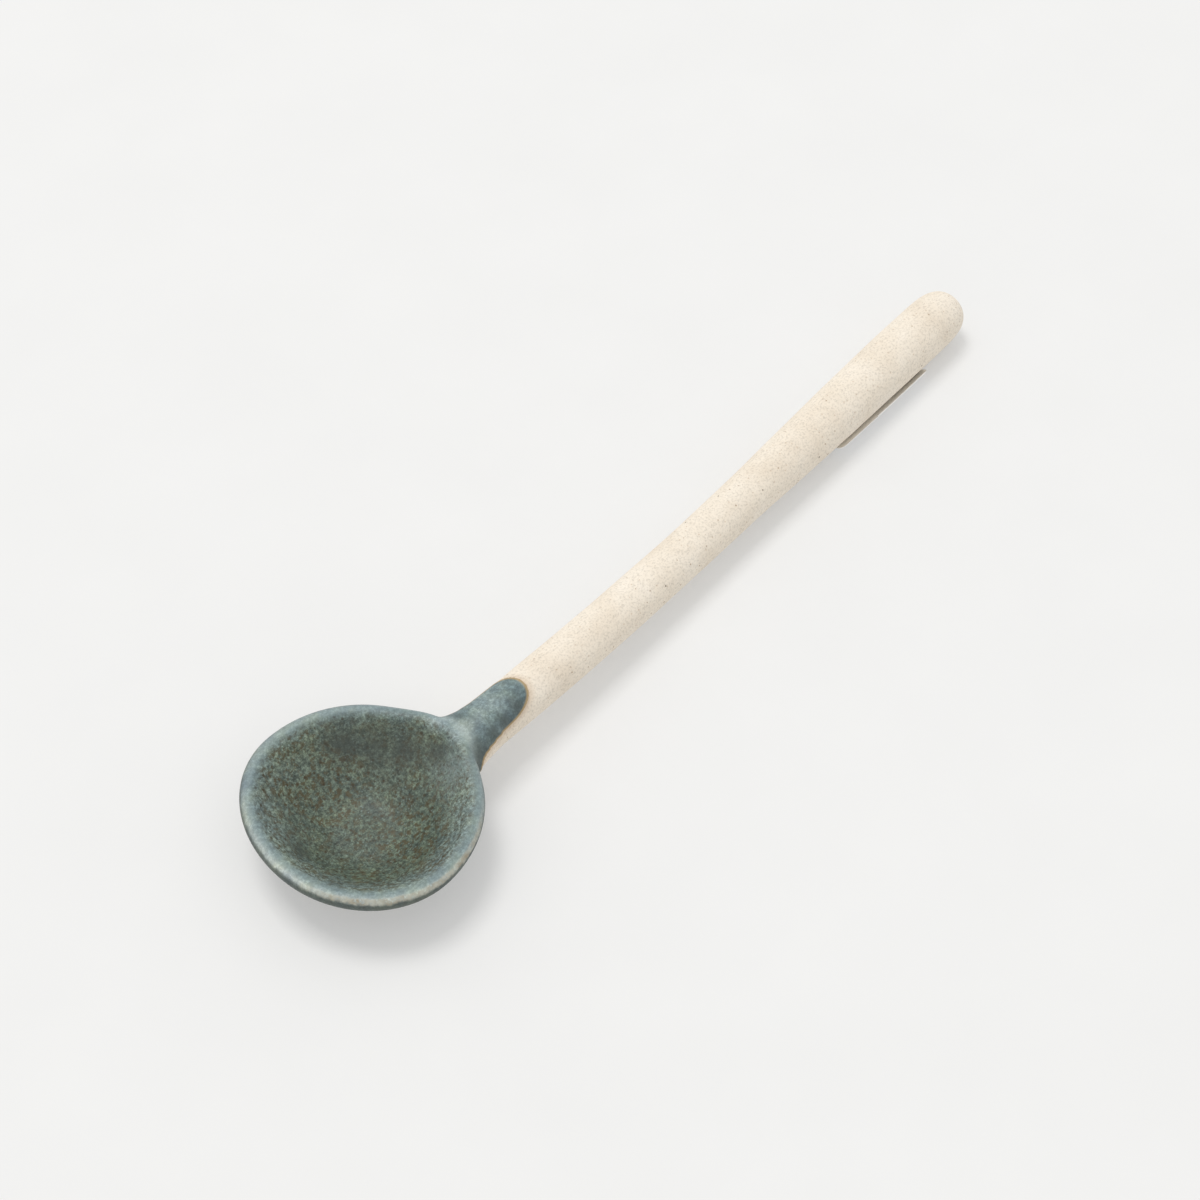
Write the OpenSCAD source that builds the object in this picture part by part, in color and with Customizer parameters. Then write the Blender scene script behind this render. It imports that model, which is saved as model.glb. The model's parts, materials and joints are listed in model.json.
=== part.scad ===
/* [Bowl] */
// Reach of the bowl from its middle to the toe
bowl_toe_reach = 19.6; // [16:0.1:26]
// Reach of the bowl from its middle towards the handle, before its rim is drawn out
bowl_neck_reach = 23.6; // [20:0.1:28]
// Length that the rim is drawn out to meet the handle
rim_pull = 2; // [0:0.1:4]
// Reach of the bowl from its middle to the left edge
bowl_left_reach = 24.2; // [18:0.1:28]
// Reach of the bowl from its middle to the right edge
bowl_right_reach = 22.5; // [18:0.1:28]
// Height of the rim above the table
rim_h = 14; // [12:0.1:15.5]
// Thickness of the round rim
rim_t = 3; // [2.4:0.1:3.6]
// Thickness of the floor in the middle
floor_t = 3.6; // [3:0.1:5]
// Radius of the level middle of the floor
level_r = 5.5; // [3:0.1:9]
// Diameter of the flat foot
foot_d = 14; // [9:0.5:18]
// Height of the flat foot below the round underside
foot_h = 0.3; // [0.2:0.05:0.8]

/* [Handle] */
// Distance from the middle of the bowl to the far end of the handle
handle_reach = 183; // [150:0.1:240]
// Thickness of the handle at the neck
neck_d = 10.3; // [9:0.1:12]
// Thickness of the handle at its thinnest, near the middle
waist_d = 9.8; // [8:0.1:12]
// Thickness of the handle near its far end
end_d = 12; // [10:0.1:14]
// Distance that the handle stands to the right of the middle of the bowl
handle_shift = 2.85; // [0:0.05:4]
// Sideways bow of the handle, greatest a third of the way along
handle_bow = 1.2; // [0:0.05:2]
// Height of the handle's centre line at the neck
neck_axis_h = 10.3; // [9:0.1:11]
// Fall of the straight part of the handle towards its far end
handle_fall = 1.5; // [1.4:0.1:2]
// Length over which the handle bends up to the bowl
bend_len = 68; // [40:1:90]
// Length of the rounding at the far end
end_round = 4.5; // [3:0.1:8]

/* [Neck] */
// Length over which the neck spreads and drops into the rim
neck_len = 6.5; // [4:0.1:9]
// Width that the neck gains on its left side at the bowl
left_spread = 5; // [0:0.1:6]
// Width that the neck gains on its right side at the bowl
right_spread = 1.2; // [0:0.1:4]
// Rise of the widest line of the neck at the bowl
spread_rise = 1.5; // [0:0.1:2]
// Drop of the top of the neck where it goes in under the rim
tuck_h = 2.2; // [1.8:0.1:3]
// Thickness of the slip layer between the handle and the bowl
slip_t = 0.4; // [0.3:0.05:0.8]

/* [Glaze] */
// Thickness of the glaze coat
glaze_t = 0.35; // [0.25:0.05:0.6]
// Distance from the middle of the bowl to the tip of the glaze on the handle
tongue_reach = 41.4; // [36:0.1:60]
// Length of the rounded nose of that tongue
nose_len = 7.4; // [3:0.1:8]
// Height above the table where the glaze on the bowl was wiped off
wiped_h = 3; // [1:0.1:5]

/* [Label] */
// Length of the label along the handle
label_len = 30; // [20:0.5:50]
// Width of the label round the handle
label_w = 13.2; // [10:0.5:18]
// Distance from the far end of the handle to the label
label_inset = 16.5; // [15:1:40]
// Width of the part that sticks to the handle
stuck_w = 6.4; // [4:0.2:9]
// Sideways run of the label over its length
label_skew = 1.2; // [0:0.1:2]
// Thickness of the paper
paper_t = 0.12; // [0.1:0.01:0.2]
// Thickness of the adhesive
adhesive_t = 0.08; // [0.06:0.01:0.1]

/* [Hidden] */

// Steps round the bowl, up each side of its wall, over its rim and to the crest of the rim
round_steps = 64;
wall_steps = 9;
rim_steps = 8;
crest_steps = 6;
// Steps round the handle, and its rings in the neck, along the straight part and at the end
tube_steps = 32;
neck_rows = 7;
tube_rows = 24;
round_rows = 6;
// Length by which the cutting shapes run past the clay
overrun = 20;

rim_r = rim_t / 2;
foot_r = foot_d / 2;
neck_r = neck_d / 2;
waist_r = waist_d / 2;
end_r = end_d / 2;
// The middle of the clay wall: its lowest height, and its rise to the rim
wall_low_h = foot_h + floor_t / 2;
wall_rise = rim_h - rim_r - wall_low_h;

// Places of the waist and of the thickest part, as shares of the handle's reach
waist_share = 0.53;
thick_share = 0.88;
waist_x = waist_share * handle_reach;
thick_x = thick_share * handle_reach;
// The handle's clay is cut from a start that lies inside the hollow of the bowl
rim_x = bowl_neck_reach + rim_pull;
start_share = 3;
start_x = rim_x - start_share * rim_t;
bend_x = rim_x + bend_len;
round_x = handle_reach - end_round;
neck_x = rim_x - rim_r + neck_len;

// Sharpness of the drawn-out rim, of the handle's round end and of the glaze's nose
pull_power = 12;
end_power = 2.4;
nose_power = 2.6;

function limit(t) = max(0, min(1, t));
function ease(t) = t * t * (3 - 2 * t);

// The reach of the bowl at one angle: four quarter ovals, with the rim drawn out at the neck
function reach(a) =
    rim_pull * pow(max(0, cos(a)), pull_power)
    + 1 / norm([
        cos(a) / (cos(a) > 0 ? bowl_neck_reach : bowl_toe_reach),
        sin(a) / (sin(a) > 0 ? bowl_left_reach : bowl_right_reach)
    ]);

// A slice of the wall at one reach r: u runs from the middle of the floor to the rim
function climb(r, u) = max(0, ((r - rim_r) * u - level_r) / (r - rim_r - level_r));
function wall_middle(r, u) = [(r - rim_r) * u, wall_low_h + wall_rise * pow(climb(r, u), 2)];
function wall_angle(r, u) = atan(2 * wall_rise * climb(r, u) / (r - rim_r - level_r));
function half_wall(u) = floor_t / 2 + (rim_r - floor_t / 2) * u;
function beside(r, u, turn, gap) = wall_middle(r, u) + gap * [cos(turn), sin(turn)];

// The clay's outline in that slice: out along the underside, over the rim and back inside
function outline_point(r, i, coat) =
    i <= wall_steps
        ? let (u = i / wall_steps)
            beside(r, u, wall_angle(r, u) - 90, half_wall(u) + coat)
    : i <= wall_steps + rim_steps
        ? let (turn = 180 * (i - wall_steps) / rim_steps)
            beside(r, 1, wall_angle(r, 1) - 90 + turn, rim_r + coat)
    : let (u = (2 * wall_steps + rim_steps - i) / wall_steps)
        beside(r, u, wall_angle(r, u) + 90, half_wall(u) + coat);

function bowl_ring(i, coat) = [
    for (j = [0 : round_steps - 1])
        let (a = 360 * j / round_steps, p = outline_point(reach(a), i, coat))
        [p.x * cos(a), p.x * sin(a), p.y]
];

// Faces of a closed surface through rings of points, with a pole at each end
function loft_faces(rows, cols) = [
    for (i = [0 : rows - 2])
        for (j = [0 : cols - 1])
            let (k = (j + 1) % cols, a = i * cols + 1, b = a + cols)
            each [[a + j, b + k, a + k], [a + j, b + j, b + k]],
    for (j = [0 : cols - 1])
        let (k = (j + 1) % cols, top = (rows - 1) * cols + 1)
        each [[0, 1 + j, 1 + k], [rows * cols + 1, top + k, top + j]]
];

module loft(rings, first, last) {
    polyhedron(
        points = [first, each [for (ring = rings) each ring], last],
        faces = loft_faces(len(rings), len(rings[0])),
        convexity = 8
    );
}

// The clay of the bowl, made thicker all round by a coat
module bowl_clay(coat) {
    loft(
        [for (i = [1 : 2 * wall_steps + rim_steps - 1]) bowl_ring(i, coat)],
        [0, 0, foot_h - coat],
        [0, 0, foot_h + floor_t + coat]
    );
}

// The same bowl with its hollow filled up to the crest of the rim
module filled_bowl(coat) {
    loft(
        [for (i = [1 : wall_steps + crest_steps]) bowl_ring(i, coat)],
        [0, 0, foot_h - coat],
        [0, 0, rim_h + coat]
    );
}

// The handle's radius, the height of its centre line and its sideways place
function handle_r(x) =
    x < waist_x
        ? neck_r + (waist_r - neck_r) * ease(limit((x - neck_x) / (waist_x - neck_x)))
        : waist_r + (end_r - waist_r) * ease(limit((x - waist_x) / (thick_x - waist_x)));
function axis_h(x) =
    let (
        straight = end_r + handle_fall * max(0, round_x - x) / (round_x - bend_x),
        bent = pow(limit((bend_x - x) / bend_len), 2)
    )
    straight + (neck_axis_h - straight) * bent;
function axis_y(x) =
    let (t = limit((x - rim_x) / (handle_reach - rim_x)))
    -handle_shift - handle_bow * 27 / 4 * t * pow(1 - t, 2);
function end_share(x) =
    pow(1 - pow(limit((x - round_x) / end_round), end_power), 1 / end_power);
function near_bowl(x) = limit((neck_x - x) / neck_len);

function handle_ring(x, coat) =
    let (
        r = handle_r(x) * end_share(x) + coat,
        near = near_bowl(x),
        rise = spread_rise * ease(near),
        left_r = r + left_spread * pow(near, 2),
        right_r = r + right_spread * pow(near, 2),
        top_r = r - rise - tuck_h * ease(near),
        low_r = r + rise
    )
    [for (j = [0 : tube_steps - 1])
        let (a = 360 * j / tube_steps)
        [
            x,
            axis_y(x) + (cos(a) > 0 ? left_r : right_r) * cos(a),
            axis_h(x) + rise + (sin(a) > 0 ? top_r : low_r) * sin(a)
        ]];

// Places of the handle's rings: close at the neck and the end, wider between
function between(a, b, steps) = [for (i = [1 : steps]) a + (b - a) * i / steps];
row_gap = (round_x - neck_x) / tube_rows;
tongue_end_x = tongue_reach + row_gap;
handle_rows = [
    start_x,
    rim_x - rim_t,
    each between(rim_x - rim_t, neck_x, neck_rows),
    each between(neck_x, round_x, tube_rows),
    for (i = [1 : round_rows]) round_x + end_round * sin(84 * i / round_rows)
];

// The clay of the handle, whole or between two places along it
module handle_clay(coat, low = start_x, high = handle_reach) {
    rows = [for (x = handle_rows) if (x >= low && x <= high) x];
    foot_x = rows[0];
    tip_x = high < handle_reach ? rows[len(rows) - 1] : handle_reach + coat;
    loft(
        [for (x = rows) handle_ring(x, coat)],
        [foot_x, axis_y(foot_x), axis_h(foot_x)],
        [tip_x, axis_y(tip_x), axis_h(tip_x)]
    );
}

module bowl() {
    color("dimgray") {
        bowl_clay(0);
        cylinder(r = foot_r, h = foot_h + floor_t / 2, $fn = 96);
    }
}

module handle() {
    color("antiquewhite")
        difference() {
            handle_clay(0);
            filled_bowl(slip_t);
        }
}

module slip_seam() {
    color("tan")
        difference() {
            intersection() {
                handle_clay(0, start_x, tongue_end_x);
                filled_bowl(slip_t);
            }
            filled_bowl(0);
        }
}

// Heights of the tongue's edge above the centre line, as shares of the neck's radius
nose_steps = 10;
edge_share = 0.42;
nose_rise_share = 0.44;

// The tongue of glaze over the top of the handle, as a space seen from the side
module tongue_space() {
    nose_x = tongue_reach - nose_len;
    translate([0, axis_y(nose_x) + overrun, neck_axis_h])
        rotate([90, 0, 0])
            linear_extrude(2 * overrun)
                polygon([
                    [start_x, 0],
                    [rim_x, 0],
                    [neck_x, neck_r * edge_share],
                    for (i = [0 : nose_steps])
                        let (t = i / nose_steps)
                        [
                            nose_x + nose_len * t,
                            neck_r * (edge_share + nose_rise_share * pow(t, nose_power))
                        ],
                    [tongue_reach, overrun],
                    [start_x, overrun]
                ]);
}

// The space round the bowl that was dipped, above the line where it was wiped
module bowl_space() {
    wide = bowl_left_reach + overrun;
    translate([-wide, -wide, wiped_h])
        cube([wide + rim_x, 2 * wide, rim_h + overrun]);
}

module glaze_coat() {
    color("cadetblue")
        difference() {
            intersection() {
                union() {
                    bowl_clay(glaze_t);
                    difference() {
                        handle_clay(glaze_t, start_x, tongue_end_x);
                        filled_bowl(0);
                    }
                }
                union() {
                    bowl_space();
                    tongue_space();
                }
            }
            bowl_clay(0);
            difference() {
                handle_clay(0, start_x, tongue_end_x);
                filled_bowl(0);
            }
        }
}

// The label bends round the underside of the handle and runs straight off it at both edges
sheet_rows = 10;
stuck_steps = 8;
stuck_half_w = stuck_w / 2;
label_x0 = handle_reach - label_inset - label_len;

// A point of the label's slice at one width from its middle, lifted off the handle
function sheet_point(x, w, lift) =
    let (
        r = handle_r(x),
        run = label_skew * ((x - label_x0) / label_len - 1 / 2),
        bent = max(-stuck_half_w, min(stuck_half_w, w)),
        a = (run + bent) / r * 180 / PI,
        loose = w - bent
    )
    [
        x,
        axis_y(x) - (r + lift) * sin(a) - loose * cos(a),
        axis_h(x) - (r + lift) * cos(a) + loose * sin(a)
    ];

// A thin sheet over the widths in a list, between two lifts off the handle
module sheet(widths, low, high) {
    cols = len(widths);
    layer = (sheet_rows + 1) * cols;
    rows = [for (i = [0 : sheet_rows]) label_x0 + label_len * i / sheet_rows];
    polyhedron(
        points = [
            for (lift = [low, high])
                for (x = rows)
                    for (w = widths)
                        sheet_point(x, w, lift)
        ],
        faces = [
            for (i = [0 : sheet_rows - 1])
                for (j = [0 : cols - 2])
                    let (a = i * cols + j, b = a + cols, c = a + layer, d = b + layer)
                    each [[a, b + 1, a + 1], [a, b, b + 1], [c, c + 1, d + 1], [c, d + 1, d]],
            for (i = [0 : sheet_rows - 1])
                for (a = [i * cols])
                    let (b = a + cols, c = a + layer, d = b + layer, e = cols - 1)
                    each [[a, d, b], [a, c, d], [a + e, b + e, d + e], [a + e, d + e, c + e]],
            for (j = [0 : cols - 2])
                let (a = j, c = a + layer, b = sheet_rows * cols + j, d = b + layer)
                each [[a, c + 1, c], [a, a + 1, c + 1], [b, d, d + 1], [b, d + 1, b + 1]]
        ],
        convexity = 6
    );
}

stuck_widths = [for (j = [0 : stuck_steps]) stuck_w * (j / stuck_steps - 1 / 2)];
paper_widths = [-label_w / 2, each stuck_widths, label_w / 2];

module label_paper() {
    color("gainsboro") sheet(paper_widths, adhesive_t, adhesive_t + paper_t);
}

module label_adhesive() {
    color("wheat")
        difference() {
            sheet(stuck_widths, -adhesive_t, adhesive_t);
            handle_clay(0, label_x0 - row_gap, label_x0 + label_len + row_gap);
        }
}

bowl();
handle();
slip_seam();
glaze_coat();
label_paper();
label_adhesive();
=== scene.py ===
import json
import math

import bmesh
import bpy
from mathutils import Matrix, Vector, noise

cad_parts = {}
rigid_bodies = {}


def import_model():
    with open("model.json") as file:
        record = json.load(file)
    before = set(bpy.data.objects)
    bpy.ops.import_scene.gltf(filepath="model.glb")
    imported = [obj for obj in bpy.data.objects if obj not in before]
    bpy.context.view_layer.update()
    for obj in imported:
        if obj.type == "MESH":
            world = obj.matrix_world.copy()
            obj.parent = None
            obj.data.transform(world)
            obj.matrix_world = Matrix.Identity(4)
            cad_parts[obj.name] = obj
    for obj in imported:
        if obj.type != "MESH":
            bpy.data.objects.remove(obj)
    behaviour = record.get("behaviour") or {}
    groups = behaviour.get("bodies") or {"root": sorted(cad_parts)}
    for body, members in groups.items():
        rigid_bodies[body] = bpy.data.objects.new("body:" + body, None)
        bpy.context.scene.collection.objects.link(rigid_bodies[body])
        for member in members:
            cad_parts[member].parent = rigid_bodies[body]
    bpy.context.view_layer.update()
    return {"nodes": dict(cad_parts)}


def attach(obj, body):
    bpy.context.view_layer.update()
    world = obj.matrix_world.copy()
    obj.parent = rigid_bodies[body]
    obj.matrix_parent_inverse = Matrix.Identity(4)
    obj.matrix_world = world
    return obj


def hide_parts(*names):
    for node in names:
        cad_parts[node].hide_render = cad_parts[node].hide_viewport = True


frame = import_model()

mm = 0.001

# The bowl. A slab of pale stoneware is pressed into a shallow dish, its edge is rolled over
# with wet fingers into a thick round rim, and the middle is tapped flat on a board for a foot.
# Only the bare clay round the foot shows, because the rest is under glaze.


def start_clean():
    """Nothing stays selected from the piece before."""
    if bpy.context.object and bpy.context.object.mode != "OBJECT":
        bpy.ops.object.mode_set(mode="OBJECT")
    bpy.ops.object.select_all(action="DESELECT")


def pick(piece, wanted):
    """Selects, in edit mode, the points of a piece whose place passes a test."""
    clay = bmesh.from_edit_mesh(piece.data)
    bpy.ops.mesh.select_mode(type="VERT")
    for point in clay.verts:
        point.select = wanted(point.co)
    clay.select_flush_mode()
    bmesh.update_edit_mesh(piece.data)


def apply_modifier(piece, kind, **settings):
    """Adds one modifier to the active piece and applies it."""
    bpy.ops.object.modifier_add(type=kind)
    added = piece.modifiers[-1]
    for setting, value in settings.items():
        setattr(added, setting, value)
    bpy.ops.object.modifier_apply(modifier=added.name)


def curve_sheet(name, wall):
    """The middle of the dish's wall as a sheet, with its rim leaning out for a lip."""
    # The level floor's radius and height, then how high and how far out the wall climbs
    floor, low, rise, reach = 5.5 * mm, 2.1 * mm, 10.4 * mm, 20.5 * mm
    steepening = 1.6
    start_clean()
    bpy.ops.mesh.primitive_circle_add(
        vertices=96, radius=floor, fill_type="TRIFAN", location=(0, 0, low)
    )
    dish = bpy.context.object
    dish.name = name
    bpy.ops.object.transform_apply(location=True, rotation=True, scale=True)
    bpy.ops.object.mode_set(mode="EDIT")
    pick(dish, lambda co: co.xy.length > 0.9 * floor)
    # The wall climbs from the level floor in rings, slowly at first and then steeply
    rings = 9
    out, up = floor, 0
    for ring in range(1, rings + 1):
        climb = ring / rings
        next_out = floor + (reach - floor) * climb
        next_up = rise * climb**steepening
        bpy.ops.mesh.extrude_region_move(
            TRANSFORM_OT_translate={"value": (0, 0, next_up - up)}
        )
        bpy.ops.transform.resize(
            value=(next_out / out, next_out / out, 1), center_override=(0, 0, 0)
        )
        out, up = next_out, next_up
    # The last ring leans on past the wall's end by half a wall, and becomes the round lip
    steep = math.atan2(steepening * rise, reach - floor)
    bpy.ops.mesh.extrude_region_move(
        TRANSFORM_OT_translate={"value": (0, 0, wall / 2 * math.sin(steep))}
    )
    lean = 1 + wall / 2 * math.cos(steep) / out
    bpy.ops.transform.resize(value=(lean, lean, 1), center_override=(0, 0, 0))
    # The dish is wider towards the left and the handle than towards the toe
    for side, stretch in (
        (lambda co: co.x > 1e-6, (1.078, 1, 1)),
        (lambda co: co.x < -1e-6, (0.883, 1, 1)),
        (lambda co: co.y > 1e-6, (1, 1.107, 1)),
        (lambda co: co.y < -1e-6, (1, 1.024, 1)),
    ):
        pick(dish, side)
        bpy.ops.transform.resize(value=stretch, center_override=(0, 0, 0))
    # The rim is drawn out to a soft point where the handle joins
    pick(dish, lambda co: co.x > 22 * mm and abs(co.y) < 0.7 * mm)
    bpy.ops.transform.translate(
        value=(2 * mm, 0, 0),
        use_proportional_edit=True,
        proportional_edit_falloff="SMOOTH",
        proportional_size=12.5 * mm,
    )
    # A fingertip has left a shallow dimple where the floor turns up into the wall
    pick(dish, lambda co: (co.xy - Vector((-11.5 * mm, 3.5 * mm))).length < 2 * mm)
    bpy.ops.transform.translate(
        value=(0, 0, -0.4 * mm),
        use_proportional_edit=True,
        proportional_edit_falloff="SMOOTH",
        proportional_size=5 * mm,
    )
    bpy.ops.object.mode_set(mode="OBJECT")
    return dish


def press_dish(name, wall):
    """The dish at one thickness all over, with a round lip: the clay alone, or with its glaze."""
    dish = curve_sheet(name, wall)
    apply_modifier(
        dish, "SOLIDIFY", thickness=wall, offset=0, use_even_offset=True
    )
    apply_modifier(
        dish,
        "BEVEL",
        width=0.49 * wall,
        segments=8,
        limit_method="ANGLE",
        angle_limit=math.radians(50),
    )
    apply_modifier(dish, "SUBSURF", levels=1, render_levels=1)
    return dish


def knead(piece, grain, softness):
    """Joined lumps become one skin of even small faces, rubbed soft."""
    apply_modifier(piece, "REMESH", mode="VOXEL", voxel_size=grain)
    apply_modifier(piece, "SMOOTH", factor=0.5, iterations=softness)


wall_thick = 3.0 * mm
foot_radius, foot_tall = 7 * mm, 1.6 * mm
bowl = press_dish("bowl_clay", wall_thick)
bpy.ops.mesh.primitive_cylinder_add(
    vertices=96, radius=foot_radius, depth=foot_tall, location=(0, 0, foot_tall / 2)
)
foot = bpy.context.object
bpy.ops.object.transform_apply(location=True, rotation=True, scale=True)
bpy.ops.object.mode_set(mode="EDIT")
# It widens up into the wall, and its lower edge is rubbed round
pick(foot, lambda co: co.z > foot_tall / 2)
bpy.ops.transform.resize(value=(1.16, 1.16, 1), center_override=(0, 0, 0))
pick(foot, lambda co: co.z < foot_tall / 2)
bpy.ops.mesh.bevel(offset=0.18 * mm, segments=3)
bpy.ops.object.mode_set(mode="OBJECT")
bowl.select_set(True)
bpy.context.view_layer.objects.active = bowl
bpy.ops.object.join()
knead(bowl, 0.35 * mm, 4)
bpy.ops.object.shade_smooth()


class Paint:
    """A material's nodes, added one after another and joined by name."""

    def __init__(self, name):
        self.material = bpy.data.materials.new(name)
        self.material.use_nodes = True
        self.tree = self.material.node_tree
        self.shader = self.tree.nodes["Principled BSDF"]
        self.place = self.add("ShaderNodeTexCoord").outputs["Object"]

    def add(self, kind, **settings):
        node = self.tree.nodes.new(kind)
        for setting, value in settings.items():
            setattr(node, setting, value)
        return node

    def join(self, output, node, socket):
        self.tree.links.new(output, node.inputs[socket])

    def clouds(self, size, detail=3.0, rough=0.55):
        """Soft noise whose patches are about one size across."""
        node = self.add("ShaderNodeTexNoise")
        self.join(self.place, node, "Vector")
        node.inputs["Scale"].default_value = 1 / size
        node.inputs["Detail"].default_value = detail
        node.inputs["Roughness"].default_value = rough
        return node.outputs["Fac"]

    def ramp(self, fac, stops):
        """Colours or greys along a value."""
        node = self.add("ShaderNodeValToRGB")
        self.join(fac, node, "Fac")
        band = node.color_ramp
        while len(band.elements) < len(stops):
            band.elements.new(0.5)
        for element, (place, shade) in zip(band.elements, stops):
            element.position = place
            element.color = (*shade, 1) if isinstance(shade, tuple) else (shade,) * 3 + (1,)
        return node.outputs["Color"]

    def mix(self, share, below, above, way="MIX"):
        """One colour laid over another by a share."""
        node = self.add("ShaderNodeMix", data_type="RGBA", blend_type=way)
        for value, socket in ((share, 0), (below, 6), (above, 7)):
            if isinstance(value, (tuple, float, int)):
                shade = (*value, 1) if isinstance(value, tuple) else value
                node.inputs[socket].default_value = shade
            else:
                self.tree.links.new(value, node.inputs[socket])
        return node.outputs[2]

    def sum(self, one, other, way="ADD"):
        """Two values put together."""
        node = self.add("ShaderNodeMath", operation=way)
        for value, socket in ((one, 0), (other, 1)):
            if isinstance(value, (float, int)):
                node.inputs[socket].default_value = value
            else:
                self.tree.links.new(value, node.inputs[socket])
        return node.outputs[0]

    def dots(self, spacing, size, share):
        """Round specks of uneven size; only a share of the places has one."""
        cells = self.add("ShaderNodeTexVoronoi")
        self.join(self.place, cells, "Vector")
        cells.inputs["Scale"].default_value = 1 / spacing
        near = self.ramp(cells.outputs["Distance"], [(size * 0.55, 1.0), (size, 0.0)])
        split = self.add("ShaderNodeSeparateColor")
        self.join(cells.outputs["Color"], split, "Color")
        chosen = self.sum(split.outputs[0], 1 - share, "GREATER_THAN")
        return self.sum(near, chosen, "MULTIPLY")

    def near(self, spot, reach):
        """1 at a spot on the piece, softly down to 0 at its reach, both in millimetres."""
        node = self.add("ShaderNodeVectorMath", operation="DISTANCE")
        self.join(self.place, node, 0)
        node.inputs[1].default_value = [place * mm for place in spot]
        away = self.sum(node.outputs["Value"], 1 / (reach * mm), "MULTIPLY")
        return self.ramp(away, [(0.1, 1.0), (0.5, 0.55), (1.0, 0.0)])

    def bump(self, *layers):
        """Heights in metres, one over another."""
        before = None
        for height, depth in layers:
            node = self.add("ShaderNodeBump")
            node.inputs["Distance"].default_value = depth
            self.join(height, node, "Height")
            if before:
                self.join(before, node, "Normal")
            before = node.outputs["Normal"]
        self.join(before, self.shader, "Normal")


def speckled_clay(name):
    """Bare fired stoneware: warm cream, with iron specks of all sizes and a fine dry tooth."""
    clay = Paint(name)
    body = clay.ramp(
        clay.clouds(9 * mm, 4),
        [(0.3, (0.80, 0.71, 0.59)), (0.5, (0.855, 0.775, 0.66)), (0.7, (0.89, 0.82, 0.715))],
    )
    grain = clay.ramp(clay.clouds(0.45 * mm, 3, 0.7), [(0.34, 0.80), (0.5, 1.0), (0.7, 1.06)])
    body = clay.mix(1.0, body, grain, "MULTIPLY")
    faint = clay.dots(0.95 * mm, 0.22, 0.26)
    body = clay.mix(clay.sum(faint, 0.42, "MULTIPLY"), body, (0.45, 0.29, 0.17))
    rust = clay.dots(1.9 * mm, 0.12, 0.3)
    body = clay.mix(clay.sum(rust, 0.7, "MULTIPLY"), body, (0.30, 0.18, 0.09))
    bold = clay.dots(3.5 * mm, 0.08, 0.5)
    body = clay.mix(clay.sum(bold, 0.85, "MULTIPLY"), body, (0.10, 0.065, 0.04))
    # Beside the glaze the clay is toasted a little darker
    run = clay.add("ShaderNodeAttribute", attribute_name="glaze_run")
    toast = clay.ramp(run.outputs["Alpha"], [(0.02, 0.8), (0.12, 0.3), (0.4, 0.0)])
    body = clay.mix(toast, body, (0.50, 0.31, 0.15))
    clay.join(body, clay.shader, "Base Color")
    clay.shader.inputs["Roughness"].default_value = 0.82
    clay.shader.inputs["Specular IOR Level"].default_value = 0.25
    clay.bump(
        (clay.clouds(4 * mm, 2), 0.10 * mm),
        (clay.clouds(0.35 * mm, 3, 0.7), 0.035 * mm),
        (faint, -0.03 * mm),
    )
    return clay.material


bowl.data.materials.clear()
bowl.data.materials.append(speckled_clay("bare_clay"))
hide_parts("bowl")
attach(bowl, "root")

# The handle. A coil of the same clay is rolled out under the palms, so it is thinnest past the
# neck, thickest near its rounded end and never quite straight. It is left bare and speckled.
# Places along the coil in millimetres: x, y, z, half its width and half its height
neck_stations = [
    (21.5, -1.1, 10.0, 8.2, 2.8),
    (23.5, -1.5, 10.0, 7.85, 3.1),
    (25.5, -2.25, 10.0, 6.7, 4.1),
    (27.5, -2.95, 10.0, 5.7, 4.6),
    (29.5, -3.15, 10.0, 5.25, 5.05),
    (31.5, -3.25, 10.02, 5.0, 5.15),
    (34, -3.35, 9.9, 5.0, 5.15),
    (40, -3.5, 9.6, 5.1, 5.14),
]
coil_stations = neck_stations + [
    (50, -3.75, 9.1, 5.1, 5.1),
    (60, -3.93, 8.63, 5.05, 5.05),
    (75, -4.05, 8.01, 4.96, 4.96),
    (90, -4.01, 7.57, 4.91, 4.91),
    (105, -3.85, 7.3, 4.95, 4.95),
    (120, -3.63, 7.03, 5.22, 5.22),
    (135, -3.37, 6.77, 5.6, 5.6),
    (150, -3.13, 6.5, 5.91, 5.91),
    (165, -2.94, 6.24, 6.0, 6.0),
    (176, -2.86, 6.06, 6.02, 6.02),
    (179.2, -2.85, 5.95, 5.6, 5.6),
    (181.4, -2.85, 5.9, 4.75, 4.75),
    (182.6, -2.85, 5.9, 3.4, 3.4),
    (183.05, -2.85, 5.9, 1.6, 1.6),
]

# The inside of the dish, closed over the top, trims whatever would stand out inside the bowl
hollow = curve_sheet("hollow", wall_thick)
bpy.ops.object.mode_set(mode="EDIT")
bpy.ops.mesh.select_all(action="DESELECT")
bpy.ops.mesh.select_non_manifold(extend=False, use_boundary=True)
bpy.ops.mesh.edge_face_add()
bpy.ops.mesh.select_all(action="SELECT")
bpy.ops.mesh.normals_make_consistent(inside=False)
bpy.ops.object.mode_set(mode="OBJECT")


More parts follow.
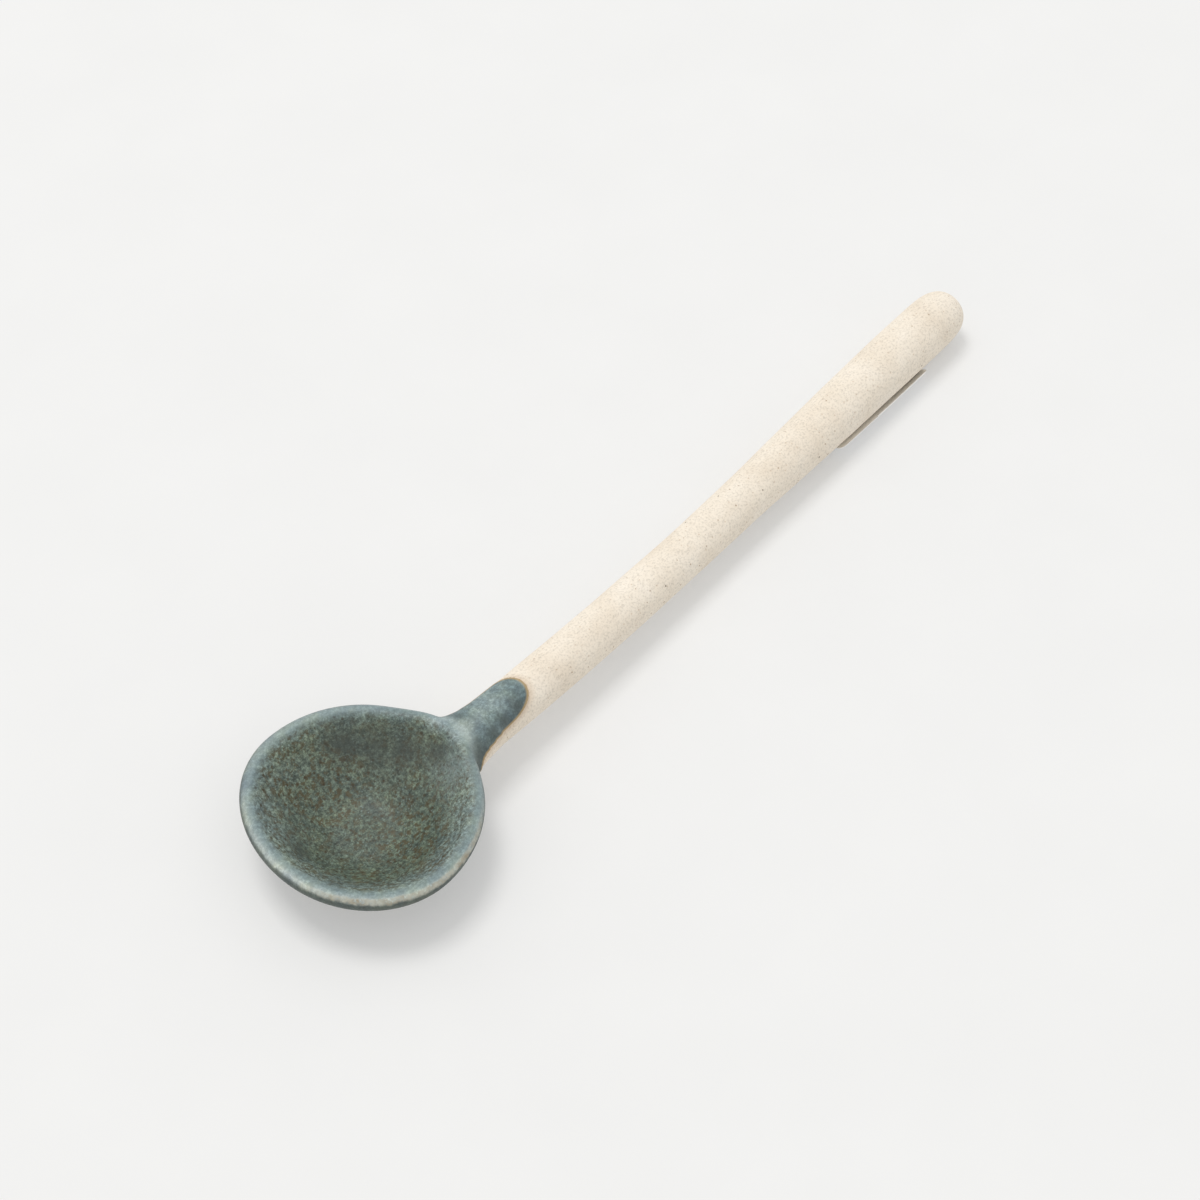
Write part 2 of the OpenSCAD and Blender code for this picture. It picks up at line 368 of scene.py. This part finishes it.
def roll_coil(name, stations, coat):
    """A coil drawn out ring by ring through its places, and its coat of glaze in millimetres."""
    start_clean()
    x, y, z = stations[0][:3]
    bpy.ops.mesh.primitive_circle_add(
        vertices=32,
        radius=1 * mm,
        rotation=(0, math.pi / 2, 0),
        location=(x * mm, y * mm, z * mm),
    )
    coil = bpy.context.object
    coil.name = name
    bpy.ops.object.transform_apply(location=True, rotation=True, scale=True)
    bpy.ops.object.mode_set(mode="EDIT")
    bpy.ops.mesh.select_all(action="SELECT")
    before = (x, y, z, 1, 1)
    for station in stations:
        if station is not stations[0]:
            onward = [(station[i] - before[i]) * mm for i in range(3)]
            bpy.ops.mesh.extrude_region_move(TRANSFORM_OT_translate={"value": onward})
        wide, tall = station[3] + coat, station[4] + coat
        bpy.ops.transform.resize(
            value=(1, wide / before[3], tall / before[4]),
            center_override=[place * mm for place in station[:3]],
        )
        before = (*station[:3], wide, tall)
    # Both ends are closed, with a small ring inside so that they round off evenly
    for end in (stations[0][0], stations[-1][0]):
        pick(coil, lambda co: abs(co.x - end * mm) < 1e-6)
        bpy.ops.mesh.edge_face_add()
        bpy.ops.mesh.inset(thickness=0.4 * mm)
    bpy.ops.mesh.select_all(action="SELECT")
    bpy.ops.mesh.normals_make_consistent(inside=False)
    bpy.ops.object.mode_set(mode="OBJECT")
    apply_modifier(coil, "SUBSURF", levels=2, render_levels=2)
    # It is pressed on to the bowl, so it ends in the middle of the wall
    apply_modifier(coil, "BOOLEAN", operation="DIFFERENCE", object=hollow, solver="EXACT")
    return coil


handle = roll_coil("handle_clay", coil_stations, 0)
knead(handle, 0.38 * mm, 3)
# The palms leave it a little uneven
outward = [point.normal.copy() for point in handle.data.vertices]
for point, way in zip(handle.data.vertices, outward):
    point.co += way * (0.09 * mm) * noise.noise(point.co / (14 * mm))
bpy.ops.object.shade_smooth()
handle.data.materials.clear()
handle.data.materials.append(speckled_clay("rolled_clay"))
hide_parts("handle")
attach(handle, "root")

# The slip seam. Scored clay is painted with thick slip where the handle meets the bowl, and
# fires into a thin joint inside the clay. Nothing of it shows.
start_clean()
seam = bpy.data.objects.new("slip_layer", frame["nodes"]["slip_seam"].data.copy())
bpy.context.scene.collection.objects.link(seam)
seam.select_set(True)
bpy.context.view_layer.objects.active = seam
bpy.ops.object.mode_set(mode="EDIT")
bpy.ops.mesh.select_all(action="SELECT")
bpy.ops.mesh.remove_doubles(threshold=0.002 * mm)
# The joint is smoothed over on both sides, so the slip ends a little inside the clay
bpy.ops.transform.resize(value=(1, 0.75, 0.65), center_override=(22 * mm, -1 * mm, 10.8 * mm))
bpy.ops.object.mode_set(mode="OBJECT")

slip = Paint("fired_slip")
shade = slip.ramp(
    slip.clouds(0.6 * mm, 3), [(0.3, (0.50, 0.40, 0.29)), (0.7, (0.62, 0.52, 0.40))]
)
slip.join(shade, slip.shader, "Base Color")
slip.shader.inputs["Roughness"].default_value = 0.9
slip.bump((slip.clouds(0.3 * mm, 2), 0.04 * mm))
seam.data.materials.clear()
seam.data.materials.append(slip.material)
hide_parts("slip_seam")
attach(seam, "root")

# The glaze. The fired bowl is dipped into an iron-bearing blue-green glaze as far as the neck,
# held by the handle, so a rounded tongue of it runs out along the top of the handle. It pools
# dark in the dish, breaks pale over the rim, and its foot is wiped clean before the firing.
coat_thick = 0.35
glaze = press_dish("glaze", wall_thick + 2 * coat_thick * mm)
roll_coil("neck", neck_stations + [(47, -3.68, 9.25, 5.11, 5.11)], coat_thick)
glaze.select_set(True)
bpy.context.view_layer.objects.active = glaze
bpy.ops.object.join()
knead(glaze, 0.3 * mm, 4)


def pick_crease(reach):
    """Selects the hollow points round the neck's join, and the rings of points beside them."""
    melt_mesh = bmesh.from_edit_mesh(glaze.data)
    melt_mesh.normal_update()
    bpy.ops.mesh.select_mode(type="VERT")
    for point in melt_mesh.verts:
        co = point.co
        point.select = False
        if co.x < 20 * mm or co.x > 33 * mm or co.z < 3.4 * mm:
            continue
        if co.xy.length < 24.2 * mm:
            continue
        beside = [edge.other_vert(point).co for edge in point.link_edges]
        middle = sum(beside, Vector()) / len(beside)
        point.select = (middle - co).dot(point.normal) > 0.004 * mm
    melt_mesh.select_flush_mode()
    bmesh.update_edit_mesh(glaze.data)
    for _ in range(reach):
        bpy.ops.mesh.select_more()


# Wet glaze and slip fill the corner between the rim and the neck
bpy.ops.object.mode_set(mode="EDIT")
for reach in (4, 3, 3):
    pick_crease(reach)
    bpy.ops.mesh.vertices_smooth(factor=0.5, repeat=20)
bpy.ops.object.mode_set(mode="OBJECT")
# The coat lies on the clay and never sinks into it
for clay_below in (bowl, handle):
    apply_modifier(
        glaze,
        "SHRINKWRAP",
        target=clay_below,
        wrap_method="NEAREST_SURFACEPOINT",
        wrap_mode="OUTSIDE",
        offset=0.28 * mm,
    )

# The dipped space is the bowl above its wiped ring, and a tongue along the top of the neck
start_clean()
bpy.ops.mesh.primitive_cube_add(size=1)
dipped = bpy.context.object
dipped.name = "dipped_space"
bpy.ops.object.mode_set(mode="EDIT")
bpy.ops.mesh.select_all(action="SELECT")
bpy.ops.transform.resize(value=(22.4 * mm, 24 * mm, 20 * mm))
bpy.ops.transform.translate(value=(30.6 * mm, -1 * mm, 22.4 * mm))
# The glaze reaches less far down on the left than on the right
pick(dipped, lambda co: co.y > 0 and co.z < 13 * mm)
bpy.ops.transform.translate(value=(0, 0, 2.8 * mm))
pick(dipped, lambda co: co.y < 0 and co.z < 13 * mm)
bpy.ops.transform.translate(value=(0, 0, -0.6 * mm))
# Its far lower edge is rounded into the tongue's nose, then drawn out more on the right
edges = bmesh.from_edit_mesh(dipped.data)
bpy.ops.mesh.select_mode(type="EDGE")
for edge in edges.edges:
    edge.select = all(p.co.x > 41 * mm and p.co.z < 17 * mm for p in edge.verts)
edges.select_flush_mode()
bmesh.update_edit_mesh(dipped.data)
bpy.ops.mesh.bevel(offset=2.75 * mm, segments=12, profile=0.4)
for side, stretch in ((lambda co: co.y < 0, 3.2), (lambda co: co.y > 0, 0.2)):
    pick(dipped, lambda co: co.x > 36 * mm and side(co))
    bpy.ops.transform.resize(value=(stretch, 1, 1), center_override=(41.8 * mm, 0, 0))
# Nearer the bowl the dip line runs down both sides of the neck: place, fall right and left
falls = (
    (31, 0, 0.5),
    (29, 0, 1.6),
    (27, 0, 2.6),
    (25.6, 0.1, 3.7),
    (24.8, 0.3, 4.5),
    (24.2, 0.6, 5.2),
    (23.6, 1.1, 6.2),
    (23, 1.8, 7.2),
    (19.4, 8.6, 12),
)
for across, _, _ in falls[:-1]:
    bpy.ops.mesh.select_all(action="SELECT")
    bpy.ops.mesh.bisect(plane_co=(across * mm, 0, 0), plane_no=(1, 0, 0))
for across, right, left in falls:
    for side, fall in ((lambda co: co.y < 0, right), (lambda co: co.y > 0, left)):
        pick(
            dipped,
            lambda co: abs(co.x - across * mm) < 1e-5 and co.z < 17 * mm and side(co),
        )
        bpy.ops.transform.translate(value=(0, 0, -fall * mm))
bpy.ops.object.mode_set(mode="OBJECT")
start_clean()
bpy.ops.mesh.primitive_cube_add(size=1)
bowl_dip = bpy.context.object
bpy.ops.object.mode_set(mode="EDIT")
bpy.ops.transform.resize(value=(60 * mm, 80 * mm, 40 * mm))
bpy.ops.transform.translate(value=(-7.8 * mm, 0, 23 * mm))
bpy.ops.object.mode_set(mode="OBJECT")
start_clean()
dipped.select_set(True)
bpy.context.view_layer.objects.active = dipped
apply_modifier(dipped, "BOOLEAN", operation="UNION", object=bowl_dip, solver="EXACT")
bpy.data.objects.remove(bowl_dip)
start_clean()
glaze.select_set(True)
bpy.context.view_layer.objects.active = glaze
apply_modifier(glaze, "BOOLEAN", operation="INTERSECT", object=dipped, solver="EXACT")
# The cut can leave a crumb beside the dip line, which is brushed off
bpy.ops.object.mode_set(mode="EDIT")
pick(glaze, lambda co: co.z > 14 * mm)
bpy.ops.mesh.select_linked()
bpy.ops.mesh.select_all(action="INVERT")
bpy.ops.mesh.delete(type="VERT")
bpy.ops.object.mode_set(mode="OBJECT")


def set_run(piece, measure):
    """Stores how the glaze ran at each point: over the lip, on to the neck, up to its edge."""
    run = piece.data.attributes.new("glaze_run", "FLOAT_COLOR", "POINT")
    facing = [point.normal.copy() for point in piece.data.vertices]
    for point, way, value in zip(piece.data.vertices, facing, run.data):
        value.color = measure(point.co, way)


def step(value, low, high):
    """A soft step from 0 to 1."""
    share = min(1, max(0, (value - low) / (high - low)))
    return share * share * (3 - 2 * share)


def from_edge(co):
    """How far a point lies from the edge of the glaze, 1 for four millimetres or more."""
    if (co.x < 18 * mm and co.z > 7.2 * mm) or co.x > 46 * mm:
        return 1
    near = dipped.closest_point_on_mesh(co)[1]
    return min(1, (near - co).length / (4 * mm))


def glaze_measure(co, way):
    """Red: place over the lip. Blue: on the neck. Alpha: how far from the edge."""
    turn = math.atan2(co.y, co.x)
    half_x = 22.1 * mm if co.x > 0 else 18.1 * mm
    half_y = 22.7 * mm if co.y > 0 else 21 * mm
    # How far out the top of the lip lies here: furthest at the handle, and more on its right
    lip = 1 / math.hypot(math.cos(turn) / half_x, math.sin(turn) / half_y)
    lip += 2.6 * mm * max(0, math.cos(turn)) ** 10
    lip += 0.8 * mm * max(0, math.cos(turn + math.radians(50))) ** 2
    out = co.xy.length
    far = math.hypot(out - lip, co.z - 14.35 * mm)
    inside = out < lip and way.z > 0.1
    over = 0.5 + (far if inside else -far) / (20 * mm)
    neck = step(out - lip, 0.3 * mm, 3.5 * mm) * step(co.z, 6 * mm, 10 * mm)
    neck *= step(co.x, 18 * mm, 24 * mm)
    return (over, 0, neck, from_edge(co))


def clay_measure(co, way):
    """Alpha: how far bare clay lies from the edge of the glaze."""
    return (0, 0, 0, from_edge(co))


bpy.data.objects.remove(hollow)
set_run(glaze, glaze_measure)
set_run(handle, clay_measure)
set_run(bowl, clay_measure)
bpy.data.objects.remove(dipped)
bpy.ops.object.shade_smooth_by_angle(angle=math.radians(50))

melt = Paint("iron_glaze")
run = melt.add("ShaderNodeAttribute", attribute_name="glaze_run")
parts = melt.add("ShaderNodeSeparateColor")
melt.join(run.outputs["Color"], parts, "Color")
over, neck = parts.outputs[0], parts.outputs[2]
off_edge = run.outputs["Alpha"]


def towards(turn, *stops):
    """A value across the dish that grows in one direction, given in degrees from the handle."""
    across = melt.add("ShaderNodeVectorMath", operation="DOT_PRODUCT")
    melt.join(melt.place, across, 0)
    way = math.radians(turn)
    across.inputs[1].default_value = (25 * math.cos(way), 25 * math.sin(way), 0)
    return melt.ramp(melt.sum(across.outputs["Value"], 0.5), stops)


# A little drift makes every change over the lip ragged
drift = melt.sum(melt.clouds(2.2 * mm, 3, 0.6), -0.5)
drift = melt.sum(drift, 0.045, "MULTIPLY")
over_ragged = melt.sum(over, drift)
# From the dark outer wall over the pale lip into the pool, in a shaded and a lit copy. The dark
# outer wall is partly the glaze's own dark teal and partly painted shade.
# The shaded copy is painted shade, for the back of the dish, which faces away from the light
painted_shaded_copy = melt.ramp(
    over_ragged,
    [
        (0.39, (0.088, 0.11, 0.10)),
        (0.42, (0.17, 0.215, 0.21)),
        (0.45, (0.24, 0.30, 0.305)),
        (0.49, (0.24, 0.31, 0.312)),
        (0.52, (0.205, 0.27, 0.27)),
        (0.56, (0.165, 0.215, 0.205)),
        (0.60, (0.135, 0.178, 0.155)),
        (0.68, (0.108, 0.14, 0.11)),
    ],
)
# The lit copy is painted light, for the front, with a painted highlight along the top of the lip
painted_lit_copy = melt.ramp(
    over_ragged,
    [
        (0.397, (0.09, 0.112, 0.10)),
        (0.415, (0.19, 0.22, 0.205)),
        (0.43, (0.42, 0.475, 0.45)),
        (0.452, (0.49, 0.55, 0.52)),
        (0.478, (0.28, 0.35, 0.34)),
        (0.505, (0.195, 0.26, 0.258)),
        (0.56, (0.185, 0.24, 0.228)),
        (0.70, (0.162, 0.21, 0.192)),
        (1.0, (0.09, 0.12, 0.093)),
    ],
)
# Painted light and shade: the lit copy shows towards the front of the lip and the pool, the
# shaded copy towards the back
lip_light = towards(-142, (0.35, 0.0), (0.6, 0.4), (0.75, 0.8), (0.88, 1.0))
pool_light = towards(-135, (0.12, 0.0), (0.24, 0.35), (0.44, 0.9), (0.6, 1.0))
light = melt.mix(melt.ramp(over, [(0.51, 0.0), (0.57, 1.0)]), lip_light, pool_light)
body = melt.mix(light, painted_shaded_copy, painted_lit_copy)
# The neck is bluer and a little paler along its back
back = melt.ramp(
    melt.clouds(5 * mm, 3), [(0.35, (0.108, 0.16, 0.17)), (0.65, (0.19, 0.252, 0.258))]
)
body = melt.mix(neck, body, back)
# Pale streaks over the ridge and along the top of the neck: painted highlights where the light
# catches them, and over the ridge also the glaze breaking thin
pale_break_and_highlight = melt.near((25.1, -3, 14.2), 3.5)
neck_highlight = melt.sum(melt.near((34, -2.5, 15.2), 6), 0.42, "MULTIPLY")
for highlight_spot in (neck_highlight, melt.near((24.4, 2.5, 14), 3.5)):
    pale_break_and_highlight = melt.sum(pale_break_and_highlight, highlight_spot, "MAXIMUM")
body = melt.mix(melt.sum(pale_break_and_highlight, 0.68, "MULTIPLY"), body, (0.36, 0.44, 0.44))
# Soft teal and olive clouds, and fine crystals
cloud = melt.ramp(
    melt.clouds(4.5 * mm, 4, 0.6),
    [(0.3, (0.74, 0.77, 0.84)), (0.5, (1.0, 1.0, 1.0)), (0.7, (1.22, 1.17, 1.04))],
)
body = melt.mix(1.0, body, cloud, "MULTIPLY")
crystal = melt.ramp(melt.clouds(0.8 * mm, 4, 0.75), [(0.34, 0.44), (0.5, 1.0), (0.64, 1.9)])
dust = melt.ramp(melt.clouds(0.3 * mm, 2, 0.6), [(0.35, 0.74), (0.65, 1.26)])
crystal = melt.mix(1.0, crystal, dust, "MULTIPLY")
grainy = melt.ramp(over, [(0.52, 0.3), (0.62, 1.0)])
grainy = melt.sum(grainy, melt.sum(neck, 0.5, "MULTIPLY"), "MAXIMUM")
body = melt.mix(grainy, body, crystal, "MULTIPLY")
# Iron blooms brown where the glaze lies thick
pool = melt.ramp(over, [(0.53, 0.1), (0.60, 1.0)])
off_neck = melt.sum(1.0, melt.sum(neck, 0.75, "MULTIPLY"), "SUBTRACT")
thick = melt.sum(pool, off_neck, "MULTIPLY")
bloom = melt.ramp(melt.clouds(1.3 * mm, 5, 0.75), [(0.50, 0.0), (0.57, 1.0)])
patch = melt.ramp(melt.clouds(9 * mm, 2), [(0.35, 0.35), (0.6, 1.0)])
bloom = melt.sum(melt.sum(bloom, patch, "MULTIPLY"), thick, "MULTIPLY")
body = melt.mix(melt.sum(bloom, 0.75, "MULTIPLY"), body, (0.08, 0.056, 0.021))
specks = melt.sum(melt.dots(1.0 * mm, 0.38, 0.4), thick, "MULTIPLY")
body = melt.mix(melt.sum(specks, 0.7, "MULTIPLY"), body, (0.05, 0.032, 0.012))
glints = melt.sum(melt.dots(0.7 * mm, 0.30, 0.3), thick, "MULTIPLY")
body = melt.mix(melt.sum(glints, 0.4, "MULTIPLY"), body, (0.26, 0.35, 0.34))
# Painted sheen: a pale patch of painted reflection on the wall to the right of the neck, and a
# fainter one on the left
painted_sheen = melt.near((19, -7, 12), 8)
for spot, reach, share in (((13.5, -13.5, 10.5), 6, 0.4), ((-11.5, 9.6, 8), 8, 0.3)):
    fainter_sheen = melt.sum(melt.near(spot, reach), share, "MULTIPLY")
    painted_sheen = melt.sum(painted_sheen, fainter_sheen, "MAXIMUM")
sheen_mottle = melt.ramp(melt.clouds(0.6 * mm, 4, 0.8), [(0.38, 0.15), (0.6, 1.0)])
painted_sheen = melt.sum(painted_sheen, sheen_mottle, "MULTIPLY")
body = melt.mix(melt.sum(painted_sheen, 0.75, "MULTIPLY"), body, (0.24, 0.295, 0.285))
# Darker under the ridge, in the dimple and along the right of the neck: partly glaze lying thick,
# partly painted shade in these hollows and corners
thick_glaze_and_shade = melt.near((17, 4.2, 10.2), 6)
for spot, reach in (
    ((14, 9.6, 10.1), 6),
    ((10.4, 14, 10.3), 6),
    ((19.6, -1, 11.2), 4),
    ((-11.5, 4.8, 8.2), 3),
    ((25.5, -8.6, 11.8), 4),
    ((36.5, -6.5, 13.5), 3),
    ((32.5, -7, 13.3), 3),
    ((29, -7.2, 12.9), 3),
):
    thick_glaze_and_shade = melt.sum(thick_glaze_and_shade, melt.near(spot, reach), "MAXIMUM")
body = melt.mix(melt.sum(thick_glaze_and_shade, 0.74, "MULTIPLY"), body, (0.05, 0.06, 0.053))
# It breaks to cream over the lip along the front
crest = melt.ramp(over_ragged, [(0.402, 0.0), (0.42, 1.0), (0.452, 1.0), (0.472, 0.0)])
broken = melt.ramp(melt.clouds(0.7 * mm, 4, 0.7), [(0.36, 0.1), (0.56, 1.0)])
facing = towards(-112, (0.74, 0.0), (0.93, 1.0))
cream = melt.sum(melt.sum(crest, broken, "MULTIPLY"), facing, "MULTIPLY")
tan = melt.ramp(
    melt.clouds(1.4 * mm, 3), [(0.4, (0.32, 0.28, 0.20)), (0.6, (0.45, 0.455, 0.39))]
)
body = melt.mix(cream, body, tan)
# Along its edge it draws thin over the clay and toasts to brown
rim_line = melt.ramp(off_edge, [(0.03, 1.0), (0.1, 0.0)])
body = melt.mix(melt.sum(rim_line, 0.85, "MULTIPLY"), body, (0.46, 0.32, 0.15))
melt.join(body, melt.shader, "Base Color")
melt.shader.inputs["Roughness"].default_value = 0.5
melt.shader.inputs["Specular IOR Level"].default_value = 0.4
melt.bump(
    (melt.clouds(3 * mm, 2), 0.10 * mm),
    (melt.clouds(0.7 * mm, 3, 0.6), 0.035 * mm),
)
glaze.data.materials.clear()
glaze.data.materials.append(melt.material)
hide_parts("glaze_coat")
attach(glaze, "root")

# The label. A small blank paper sticker sits lengthwise under the far end of the handle. Only
# its middle sticks to the round clay, and one loose edge shows past the side.
start_clean()
stock = frame["nodes"]["label_paper"]
label = bpy.data.objects.new("label", stock.data.copy())
bpy.context.scene.collection.objects.link(label)
label.select_set(True)
bpy.context.view_layer.objects.active = label
bpy.ops.object.mode_set(mode="EDIT")
bpy.ops.mesh.select_all(action="SELECT")
bpy.ops.mesh.remove_doubles(threshold=0.002 * mm)
bpy.ops.mesh.tris_convert_to_quads(
    face_threshold=math.radians(60), shape_threshold=math.radians(80)
)
# The four corners are cut round
sheet = bmesh.from_edit_mesh(label.data)
ends = [choose(point.co.x for point in sheet.verts) for choose in (min, max)]
sides = [
    choose(point.co.y for point in sheet.verts if abs(point.co.x - end) < 0.01 * mm)
    for end in ends
    for choose in (min, max)
]
bpy.ops.mesh.select_mode(type="EDGE")
for edge in sheet.edges:
    edge.select = edge.calc_length() < 0.2 * mm and all(
        min(abs(p.co.x - end) for end in ends) < 0.01 * mm
        and min(abs(p.co.y - side) for side in sides) < 0.12 * mm
        for p in edge.verts
    )
sheet.select_flush_mode()
bmesh.update_edit_mesh(label.data)
bpy.ops.mesh.bevel(offset=1.3 * mm, segments=6)
# A narrow rim along the cut edge, which catches the light
sheet = bmesh.from_edit_mesh(label.data)
sheet.normal_update()
bpy.ops.mesh.select_mode(type="FACE")
for face in sheet.faces:
    face.select = face.normal.z > 0.5
sheet.select_flush_mode()
bmesh.update_edit_mesh(label.data)
bpy.ops.mesh.inset(thickness=0.3 * mm)
bpy.ops.object.mode_set(mode="OBJECT")
# The inset leaves the middle selected, and the rest is the cut edge
cut = label.data.attributes.new("cut_edge", "FLOAT_COLOR", "POINT")
for point, value in zip(label.data.vertices, cut.data):
    value.color = (0, 0, 0, 1) if point.select else (1, 1, 1, 1)

paper = Paint("label_stock")
fibre = paper.ramp(
    paper.clouds(0.5 * mm, 3), [(0.3, (0.86, 0.83, 0.77)), (0.7, (0.92, 0.90, 0.85))]
)
border = paper.add("ShaderNodeAttribute", attribute_name="cut_edge").outputs["Fac"]
# The cut edge is painted whiter: a painted highlight where the light catches it
rim = paper.ramp(border, [(0.35, 0.0), (0.7, 1.0)])
fibre = paper.mix(rim, fibre, (0.96, 0.96, 0.95))
paper.join(fibre, paper.shader, "Base Color")
paper.shader.inputs["Roughness"].default_value = 0.35
paper.bump((paper.clouds(0.4 * mm, 2), 0.01 * mm))
label.data.materials.clear()
label.data.materials.append(paper.material)
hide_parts("label_paper")
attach(label, "root")

# The gum under it is a thin clear film that has yellowed a little
gum = Paint("label_gum")
clear = gum.ramp(gum.clouds(1 * mm, 2), [(0.3, (0.62, 0.58, 0.48)), (0.7, (0.70, 0.66, 0.56))])
gum.join(clear, gum.shader, "Base Color")
gum.shader.inputs["Roughness"].default_value = 0.3
gum.bump((gum.clouds(0.6 * mm, 2), 0.01 * mm))
film = frame["nodes"]["label_adhesive"]
film.data.materials.clear()
film.data.materials.append(gum.material)

# The table, the light and the camera. A matt off-white top, one broad soft window above and to
# the left of the spoon, even light from all round, and the photograph's own point of view.
start_clean()
bpy.ops.mesh.primitive_plane_add(size=4)
table = bpy.context.object
table.name = "table"
top = Paint("table_top")
chalky = top.ramp(
    top.clouds(30 * mm, 3), [(0.3, (0.822, 0.825, 0.822)), (0.7, (0.842, 0.845, 0.842))]
)
top.join(chalky, top.shader, "Base Color")
top.shader.inputs["Roughness"].default_value = 0.9
top.shader.inputs["Specular IOR Level"].default_value = 0.1
# Part of its paleness is its own, for the eye only, so that shadows on it stay light
seen = top.add("ShaderNodeLightPath")
looks = top.sum(seen.outputs["Is Camera Ray"], seen.outputs["Is Glossy Ray"], "MAXIMUM")
looks = top.sum(looks, seen.outputs["Is Transmission Ray"], "MAXIMUM")
glow_share = 0.35
glow = top.add("ShaderNodeEmission")
glow.inputs["Color"].default_value = (0.862, 0.864, 0.86, 1)
lit = top.add("ShaderNodeMixShader")
top.join(top.sum(looks, glow_share, "MULTIPLY"), lit, 0)
top.join(top.shader.outputs["BSDF"], lit, 1)
top.join(glow.outputs["Emission"], lit, 2)
top.join(lit.outputs["Shader"], top.tree.nodes["Material Output"], "Surface")
table.data.materials.append(top.material)

room = bpy.data.worlds.new("room")
bpy.context.scene.world = room
room.use_nodes = True
around = room.node_tree.nodes["Background"]
around.inputs["Color"].default_value = (1.0, 0.995, 0.985, 1)
around.inputs["Strength"].default_value = 0.72


def point_at(thing, place, target):
    """Turns a lamp or a camera from its place to look at a point."""
    thing.location = place
    thing.rotation_euler = (Vector(target) - Vector(place)).to_track_quat("-Z", "Y").to_euler()


window = bpy.data.objects.new("window", bpy.data.lights.new("window", "AREA"))
window.data.shape = "SQUARE"
window.data.size = 1.6
window.data.energy = 69.5
window.data.color = (1.0, 0.985, 0.965)
bpy.context.scene.collection.objects.link(window)
point_at(window, (0.1, 1.2, 3.95), (0.08, 0, 0))

camera = bpy.data.objects.new("camera", bpy.data.cameras.new("camera"))
bpy.context.scene.collection.objects.link(camera)
camera.data.sensor_width = 36
camera.data.lens = 84
camera.data.clip_start = 0.01
point_at(camera, (-0.1908, -0.2227, 0.4476), (0.07458, 0.00505, 0))
bpy.context.scene.camera = camera
bpy.context.scene.view_settings.view_transform = "Standard"
